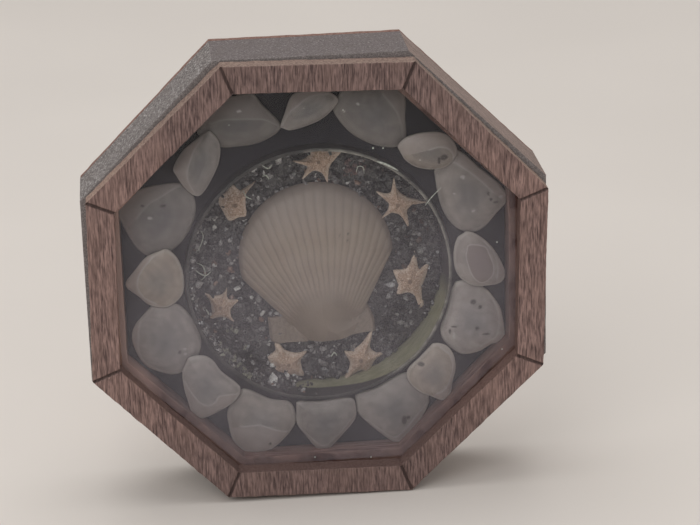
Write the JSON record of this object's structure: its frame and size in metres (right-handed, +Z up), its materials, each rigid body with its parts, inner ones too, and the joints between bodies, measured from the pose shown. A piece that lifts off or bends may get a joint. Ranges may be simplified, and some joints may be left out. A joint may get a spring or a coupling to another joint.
{
  "type": "shell box",
  "caption": "Small octagonal display box with a flat wooden frame, a pane, shells on a dark board and a round well with a scallop and starfish on dark sand.",
  "frame": {"origin": "middle of the box's footprint, on the ground under the bottom flat of the wall", "axes": "+Z up, -Y towards the viewer through the glazed front, +X to the viewer's right"},
  "size_m": [0.1016, 0.0226, 0.1016],
  "materials": {
    "frame_wood": "bare reddish-brown wood with an upright streaky grain",
    "wall_wood": "rough sawn and sanded, greyed",
    "back_wood": "bare reddish-brown wood",
    "pane_glass": "clear with a light haze and dust",
    "dark_board": "matt near-black",
    "well_paint": "pale olive green inside, thin bright rim",
    "dark_sand": "coarse black and grey grains with glints",
    "scallop_shell": "beige-grey shell with fine ribs",
    "starfish_skin": "dry peach-cream, slightly granular",
    "valve_shell": "smooth grey-white shell, a little see-through"
  },
  "bodies": {
    "root": {"front_frame": "frame_wood", "glass_pane": "pane_glass", "box_wall": "wall_wood", "back_board": "back_wood", "shell_board": "dark_board", "well_ring": "well_paint", "sand_bed": "dark_sand", "scallop_shell": "scallop_shell", "starfish_1": "starfish_skin", "starfish_2": "starfish_skin", "starfish_3": "starfish_skin", "starfish_4": "starfish_skin", "starfish_5": "starfish_skin", "starfish_6": "starfish_skin", "starfish_7": "starfish_skin", "rim_shell_01": "valve_shell", "rim_shell_02": "valve_shell", "rim_shell_03": "valve_shell", "rim_shell_04": "valve_shell", "rim_shell_05": "valve_shell", "rim_shell_06": "valve_shell", "rim_shell_07": "valve_shell", "rim_shell_08": "valve_shell", "rim_shell_09": "valve_shell", "rim_shell_10": "valve_shell", "rim_shell_11": "valve_shell", "rim_shell_12": "valve_shell", "rim_shell_13": "valve_shell", "rim_shell_14": "valve_shell", "rim_shell_15": "valve_shell", "rim_shell_16": "valve_shell"}
  },
  "joints": []
}
